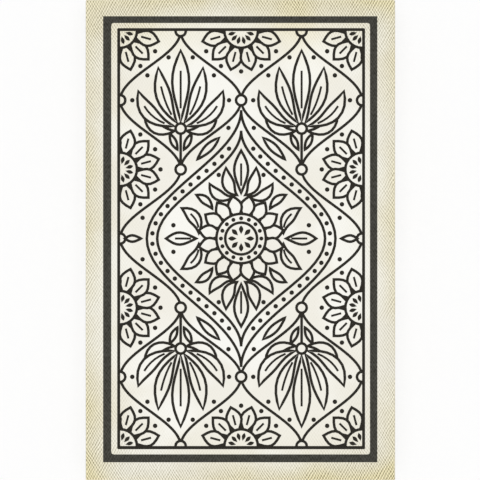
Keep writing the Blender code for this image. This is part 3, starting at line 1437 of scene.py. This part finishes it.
def cut_up(shapes):
    """A print cut up along its shapes: points, triangles, the coat of each and the points of the edge."""
    points, edges = [], []
    for outer, _ in shapes:
        start, size = len(points), len(outer)
        edges += [(start + index, start + (index + 1) % size) for index in range(size)]
        points += [Vector(point) for point in outer]
    places, _, triangles, sources, _, _ = delaunay_2d_cdt(points, edges, [], 0, MERGE, True)
    places, welded = np.unique(np.round(np.array(places) / MERGE), axis=0, return_inverse=True)
    places, welded = places * MERGE, welded.ravel()
    triangles = welded[np.array(triangles)]
    triangles = triangles[(triangles != np.roll(triangles, 1, axis=1)).all(axis=1)]
    middles = places[triangles].mean(axis=1)
    coats = np.empty(len(triangles), int)
    for outer, coat in shapes:
        near = np.flatnonzero(((middles > outer.min(axis=0)) & (middles < outer.max(axis=0))).all(axis=1))
        coats[near[inside(middles[near], outer)]] = coat
    corner_of = {source: welded[index] for index, found in enumerate(sources) for source in found}
    return places, triangles, coats, np.array([corner_of[index] for index in range(len(shapes[0][0]))])


def card_outline(cut, inset):
    half = np.array((WIDTH, LENGTH)) / 2 - inset
    return round_box(*half, cut.corner_radius - inset, cut.corner_steps)


def edge_rings(cut):
    """The rings of the cut edge from the back down to the face, without the two outer ones."""
    ease = cut.edge_ease
    upper = ((EASE_MIDDLE * ease, THICKNESS - EASE_MIDDLE * ease), (0.0, THICKNESS - ease))
    lower = [(inset, THICKNESS - height) for inset, height in reversed(upper)]
    rings = []
    for inset, height in (*upper, *lower):
        ring = card_outline(cut, inset)
        rings.append(np.column_stack((ring, np.full(len(ring), height))))
    return rings


def card_mesh(name, place, back, face, cut):
    """One closed card with its lower corner at a place: back, face and the cut edge between them."""
    back_points, back_faces, back_coats, back_edge = back
    face_points, face_faces, face_coats, face_edge = face
    rings = edge_rings(cut)
    size = len(back_edge)
    ring_start = len(back_points)
    face_start = ring_start + len(rings) * size
    face_points = face_points * (-1, 1)
    points = np.vstack((
        np.column_stack((back_points, np.full(len(back_points), THICKNESS))),
        *rings,
        np.column_stack((face_points, np.zeros(len(face_points)))),
    ))
    mirror = (size // 2 - 1 - np.arange(size)) % size
    loops = [back_edge]
    loops += [ring_start + index * size + np.arange(size) for index in range(len(rings))]
    loops.append(face_start + face_edge[mirror])
    walls = []
    for upper, lower in zip(loops[:-1], loops[1:]):
        next_upper, next_lower = np.roll(upper, -1), np.roll(lower, -1)
        walls.append(np.column_stack((upper, lower, next_lower)))
        walls.append(np.column_stack((upper, next_lower, next_upper)))
    walls = np.vstack(walls)
    triangles = np.vstack((back_faces, walls, face_start + face_faces))
    coats = np.concatenate((back_coats, np.full(len(walls), CUT_EDGE), face_coats))
    return triangle_mesh(name, points + place, triangles, coats)


def triangle_mesh(name, points, triangles, coats):
    mesh = bpy.data.meshes.new(name)
    mesh.vertices.add(len(points))
    mesh.vertices.foreach_set("co", points.ravel())
    mesh.loops.add(triangles.size)
    mesh.loops.foreach_set("vertex_index", triangles.ravel().astype(np.int32))
    mesh.polygons.add(len(triangles))
    mesh.polygons.foreach_set("loop_start", np.arange(0, triangles.size, 3, dtype=np.int32))
    mesh.polygons.foreach_set("material_index", coats.astype(np.int32))
    mesh.update(calc_edges=True)
    if mesh.validate():
        raise RuntimeError(f"the mesh of {name} has faults")
    mesh.shade_smooth()
    mesh.set_sharp_from_angle(angle=SHARP_ANGLE)
    return mesh


# Finishes

# Noise changes this much faster through the deck than across it, so that cards differ
CARD_STRETCH = (1.0, 1.0, 40.0)

# The two families of threads, by slant in degrees and spacing
THREADS = ((-30, 0.000465), (34, 0.000425))

# How the threads sway, how they swell in streaks, and where either family is ahead
SWAY_GRAIN = 0.0018
SWAY = 6.0
STREAK_SPACING = 0.0028
STREAK_DEPTH = 0.25
LEAD_GRAIN = 0.006
LEAD_CONTRAST = 1.3
LEAD_SHIFT = 0.19

# Wear along a card's sides in shares of that at its ends, and how far the two overlap at a corner
SIDE_WEAR = 0.8
CORNER_OVERLAP = 0.5

# Patches of age and stains, and of tinged paper
PATCH_GRAIN = 0.018
AGE_CONTRAST = 2.0
AGE_SHIFT = 0.28
STAIN_RANGE = (0.5, 0.75)
STAIN_FADE = (0.015, 0.015)
STAIN = 0.22
TINGE_GRAIN = 0.01
TINGE_RANGE = (0.36, 0.6)

# How dark the painted shade in the sunken threads is: everywhere, towards the edges, in stains, with the
# patches and with the grain
WEAVE_LEAST = 0.03
WEAVE_RANGE = (0.1, 1.0)
WEAVE_AT_EDGE = 0.58
WEAVE_IN_STAIN = 0.2
WEAVE_CONTRAST = 1.1
WEAVE_SHIFT = 0.43
PAPER_GRAIN = 0.0005
GRAIN_IN_WEAVE = 0.8

# Ink: its grain, the least grain that shows, the weave's share, and how worn each ink is
INK_GRAIN = 0.0006
INK_COVER = 0.3
INK_WEAVE = 0.3
FRAME_WEAR = 0.09
LINE_WEAR = 0.02
RED_WEAR = 0.05

# The cut edge: a shift that keeps an underside with its own card, then fibres, dust, painted shade towards
# each card's back and face where it meets the next card, and each card's own tone
LEVEL_SHIFT = 0.01
FIBRE_GRAIN = 0.0012
FIBRE_STRETCH = (1.0, 1.0, 14.0)
FIBRE_RANGE = (0.35, 0.75)
FIBRE_SHADE = 0.5
DUST_GRAIN = 0.009
DUST_STRETCH = (1.0, 1.0, 3.0)
DUST_RANGE = (0.4, 0.8)
DUST_SHADE = 0.4
# Painted shade towards each card's back and face, where the cards meet
PAINTED_GAP_RANGE = (0.28, 0.46)
PAINTED_GAP_SHADE = 0.25
CARD_SHADE = 0.35

# Surfaces: roughness and how far the grain changes it, shine and relief
INK_ROUGHNESS = 0.45
EDGE_ROUGHNESS = 0.85
GRAIN_ROUGHNESS = 0.2
FIBRE_ROUGHNESS = 0.15
PAPER_SHINE = 0.25
INK_SHINE = 0.06
EDGE_SHINE = 0.2
PRESS_RELIEF = 0.00001
EDGE_RELIEF = 0.00002
RELIEF_STRENGTH = 0.5


class Finish:
    """A new material, with the coordinates that its pattern follows."""

    def __init__(self, name):
        self.material = bpy.data.materials.new(name)
        self.material.use_nodes = True
        self.nodes = NodeMaker(self.material.node_tree)
        self.place = self.nodes.add("ShaderNodeTexCoord", output="Object")
        self.x = self.nodes.add("ShaderNodeSeparateXYZ", None, {"Vector": self.place})
        self.y, self.z = self.x.other("Y"), self.x.other("Z")

    def noise(self, grain, stretch=CARD_STRETCH, detail=2.0):
        """Noise in patches of one grain size, which differs from card to card."""
        mapped = self.nodes.add("ShaderNodeMapping", None, {"Vector": self.place, "Scale": stretch})
        sockets = {"Vector": mapped, "Scale": 1 / grain, "Detail": detail}
        return self.nodes.add("ShaderNodeTexNoise", {"noise_dimensions": "3D"}, sockets)

    def weave(self):
        """Two crossing families of fine slanted threads, in streaks, about 0 to 1, either one ahead."""
        lead = self.noise(LEAD_GRAIN) * LEAD_CONTRAST - LEAD_SHIFT
        sway = self.noise(SWAY_GRAIN) * SWAY
        bands = []
        for slant, spacing in THREADS:
            wave = self.x * math.cos(math.radians(slant)) + self.y * math.sin(math.radians(slant))
            thread = (wave * (math.tau / spacing) + sway).sine()
            swell = (wave * (math.tau / STREAK_SPACING) - sway).sine()
            bands.append(thread * (swell * STREAK_DEPTH + (1 - STREAK_DEPTH)))
        return bands[0] * lead + bands[1] * (1 - lead) + 0.5

    def nearness(self, fades):
        """1 at the card's ends, a little less at its sides and more at its corners, fading inwards."""
        across = ((abs(self.x) - WIDTH / 2) / fades[0]).exponential() * SIDE_WEAR
        along = ((abs(self.y) - LENGTH / 2) / fades[1]).exponential()
        return across + along - across * along * CORNER_OVERLAP

    def dress(self, height, relief=PRESS_RELIEF, **sockets):
        """Set the surface's relief, and its sockets by names with underscores for spaces."""
        surface = self.material.node_tree.nodes["Principled BSDF"]
        given = {name.replace("_", " "): value for name, value in sockets.items()}
        bump = {"Height": height, "Strength": RELIEF_STRENGTH, "Distance": relief}
        given["Normal"] = self.nodes.add("ShaderNodeBump", None, bump)
        self.nodes.plug(surface, given)
        return self.material


def paper_finish(name, finish):
    """Linen-pressed paper, near white in the middle and unevenly yellowed towards its edges, with painted
    shade in its sunken threads.
    """
    made = Finish(name)
    mix = made.nodes.mix
    patches = made.noise(PATCH_GRAIN)
    age = made.nearness(finish.fade) * (patches * AGE_CONTRAST - AGE_SHIFT)
    stain = patches.smooth(*STAIN_RANGE) * made.nearness(STAIN_FADE) * STAIN
    paper = mix(made.noise(TINGE_GRAIN).smooth(*TINGE_RANGE), finish.paper, finish.tinge)
    weave = made.weave()
    grain = made.noise(PAPER_GRAIN) - 0.5
    thread_shade_depth = made.nearness(finish.weave_fade).smooth(*WEAVE_RANGE) * WEAVE_AT_EDGE
    thread_shade_depth = thread_shade_depth + stain * WEAVE_IN_STAIN + WEAVE_LEAST
    # Painted shade in the sunken threads of the linen, deeper towards the edges, in stains and with the
    # patches
    threads = (weave + grain * GRAIN_IN_WEAVE) * thread_shade_depth * (patches * WEAVE_CONTRAST + WEAVE_SHIFT)
    return made.dress(
        height=grain - weave,
        Base_Color=mix(threads, mix(age + stain, paper, finish.border), finish.thread),
        Roughness=finish.roughness + grain * GRAIN_ROUGHNESS,
        Specular_IOR_Level=PAPER_SHINE,
    )


def ink_finish(name, finish, tone, wear):
    """Flat ink that lets a little of the paper's grain through."""
    made = Finish(name)
    grain = made.noise(INK_GRAIN)
    weave = made.weave()
    worn = (grain - INK_COVER) * wear + weave * wear * INK_WEAVE
    return made.dress(
        height=grain - weave,
        Base_Color=made.nodes.mix(worn, tone, finish.tinge),
        Roughness=INK_ROUGHNESS + grain * GRAIN_ROUGHNESS,
        Specular_IOR_Level=INK_SHINE,
    )


def edge_finish(name, finish):
    """The cut edge: a pale core with fibres along it, painted shade towards each card's back and face where
    the cards meet, each card a little unlike the next.
    """
    made = Finish(name)
    level = made.z / PITCH + LEVEL_SHIFT
    one_way = {"noise_dimensions": "1D"}
    tone = made.nodes.add("ShaderNodeTexWhiteNoise", one_way, {"W": level.floor()}, output="Value")
    # Painted shade: each card's edge darkens towards its back and face, along the seams between the cards
    painted_gap_shade = abs(level % 1.0 - 0.5 * THICKNESS / PITCH).smooth(*PAINTED_GAP_RANGE)
    fibres = made.noise(FIBRE_GRAIN, FIBRE_STRETCH, detail=4.0)
    dust = made.noise(DUST_GRAIN, DUST_STRETCH).smooth(*DUST_RANGE)
    shade = tone * CARD_SHADE + fibres.smooth(*FIBRE_RANGE) * FIBRE_SHADE
    shade = shade + dust * DUST_SHADE + painted_gap_shade * PAINTED_GAP_SHADE
    return made.dress(
        height=fibres,
        relief=EDGE_RELIEF,
        Base_Color=made.nodes.mix(shade, finish.core, finish.core_shade),
        Roughness=EDGE_ROUGHNESS - fibres * FIBRE_ROUGHNESS,
        Specular_IOR_Level=EDGE_SHINE,
    )


def card_finishes(finish):
    """The materials of a card, in the order of its slots."""
    return {
        PAPER: paper_finish("card_paper", finish),
        FRAME_INK: ink_finish("frame_ink", finish, finish.frame_ink, FRAME_WEAR),
        LINE_INK: ink_finish("line_ink", finish, finish.line_ink, LINE_WEAR),
        RED_INK: ink_finish("red_ink", finish, finish.red_ink, RED_WEAR),
        CUT_EDGE: edge_finish("cut_edge", finish),
    }


# Stage

WHITE = (1.0, 1.0, 1.0, 1.0)
FLOOR_ROUGHNESS = 0.9


def seen_directly(nodes):
    """1 for what the camera sees, also in a mirror or through glass."""
    path = nodes.add("ShaderNodeLightPath", output="Is Camera Ray")
    return path.most(path.other("Is Glossy Ray")).most(path.other("Is Transmission Ray"))


def stage_floor(stage):
    """A pale floor, lifted towards white where it is seen, with the deck's shadow left on it."""
    half = stage.floor_size / 2
    floor = flat_object("floor", box(half, half), faces=((0, 1, 2, 3),))
    floor.data.transform(floor.matrix_world.Translation((0, 0, CAD_BOX[0][2] - stage.floor_drop)))
    material = bpy.data.materials.new("floor")
    material.use_nodes = True
    nodes = NodeMaker(material.node_tree)
    surface = material.node_tree.nodes["Principled BSDF"]
    looks = {"Base Color": (*stage.floor, 1.0), "Roughness": FLOOR_ROUGHNESS, "Specular IOR Level": 0.0}
    nodes.plug(surface, looks)
    glow = nodes.add("ShaderNodeEmission", None, {"Color": WHITE, "Strength": 1.0})
    lift = seen_directly(nodes) * stage.floor_white
    shaded = Value(nodes, surface.outputs[0])
    shown = nodes.add("ShaderNodeMixShader", None, {0: lift, 1: shaded, 2: glow})
    nodes.plug(material.node_tree.nodes["Material Output"], {"Surface": shown})
    floor.data.materials.append(material)


def stage_world(stage):
    """Even light from all round, white where it is seen."""
    world = bpy.data.worlds.new("studio")
    world.use_nodes = True
    nodes = NodeMaker(world.node_tree)
    strength = stage.sky + seen_directly(nodes) * (1.0 - stage.sky)
    nodes.plug(world.node_tree.nodes["Background"], {"Color": WHITE, "Strength": strength})
    bpy.context.scene.world = world


def stage_lamp(stage):
    """One large soft lamp above the deck."""
    data = bpy.data.lights.new("lamp", "AREA")
    data.size = stage.lamp_size
    data.energy = stage.lamp
    lamp = bpy.data.objects.new("lamp", data)
    lamp.location = (0.0, 0.0, stage.lamp_height)
    bpy.context.scene.collection.objects.link(lamp)


def stage_camera(stage):
    """Straight down on the top card, which fills the height of the picture."""
    data = bpy.data.cameras.new("camera")
    data.lens = stage.lens
    camera = bpy.data.objects.new("camera", data)
    distance = stage.view_height * stage.lens / data.sensor_width
    camera.location = (-stage.view_offset, 0.0, CAD_BOX[1][2] + distance)
    bpy.context.scene.collection.objects.link(camera)
    bpy.context.scene.camera = camera


# Operators, panel and start


class DECK_OT_lay_cards(bpy.types.Operator):
    """Make every card, with its printed back, its printed face and its cut edge"""

    bl_idname = "deck.lay_cards"
    bl_label = "Lay cards"

    def execute(self, context):
        scene = context.scene
        finishes = card_finishes(scene.deck_finish)
        repeats = Repeats(finishes[LINE_INK])
        sheet = card_outline(scene.deck_cut, scene.deck_cut.edge_ease)
        back = cut_up([(sheet, PAPER)] + back_print(repeats, scene.deck_back))
        for number, node in enumerate(CARDS, start=1):
            low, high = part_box(node)
            place = ((low.x + high.x) / 2, (low.y + high.y) / 2, low.z)
            emblem_name = node.split("_", 2)[2]
            face = cut_up([(sheet, PAPER)] + face_print(repeats, scene.deck_face, number, emblem_name))
            name = "printed_" + node
            card = bpy.data.objects.new(name, card_mesh(name, place, back, face, scene.deck_cut))
            for coat in sorted(finishes):
                card.data.materials.append(finishes[coat])
            scene.collection.objects.link(card)
            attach(card, frame["nodes"][node]["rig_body"])
            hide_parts(node)
        return {"FINISHED"}


class DECK_OT_set_stage(bpy.types.Operator):
    """Set up the floor, the light and the camera"""

    bl_idname = "deck.set_stage"
    bl_label = "Set stage"

    def execute(self, context):
        stage = context.scene.deck_stage
        stage_floor(stage)
        stage_world(stage)
        stage_lamp(stage)
        stage_camera(stage)
        context.scene.view_settings.view_transform = "Standard"
        return {"FINISHED"}


class DECK_PT_tools(bpy.types.Panel):
    """The deck's operators and settings"""

    bl_label = "Card deck"
    bl_space_type = "VIEW_3D"
    bl_region_type = "UI"
    bl_category = "Deck"

    def draw(self, context):
        for operator in OPERATORS:
            self.layout.operator(operator.bl_idname)
        for name, group in SETTINGS.items():
            section = self.layout.box()
            section.label(text=group.__doc__)
            for setting in group.__annotations__:
                section.prop(getattr(context.scene, name), setting)


OPERATORS = (DECK_OT_lay_cards, DECK_OT_set_stage)
CLASSES = (*SETTINGS.values(), *OPERATORS, DECK_PT_tools)


def register():
    for item in CLASSES:
        bpy.utils.register_class(item)
    for name, group in SETTINGS.items():
        setattr(bpy.types.Scene, name, bpy.props.PointerProperty(type=group))


def unregister():
    for name in SETTINGS:
        delattr(bpy.types.Scene, name)
    for item in reversed(CLASSES):
        bpy.utils.unregister_class(item)


def main():
    register()
    bpy.ops.deck.lay_cards()
    bpy.ops.deck.set_stage()


if __name__ == "__main__":
    main()
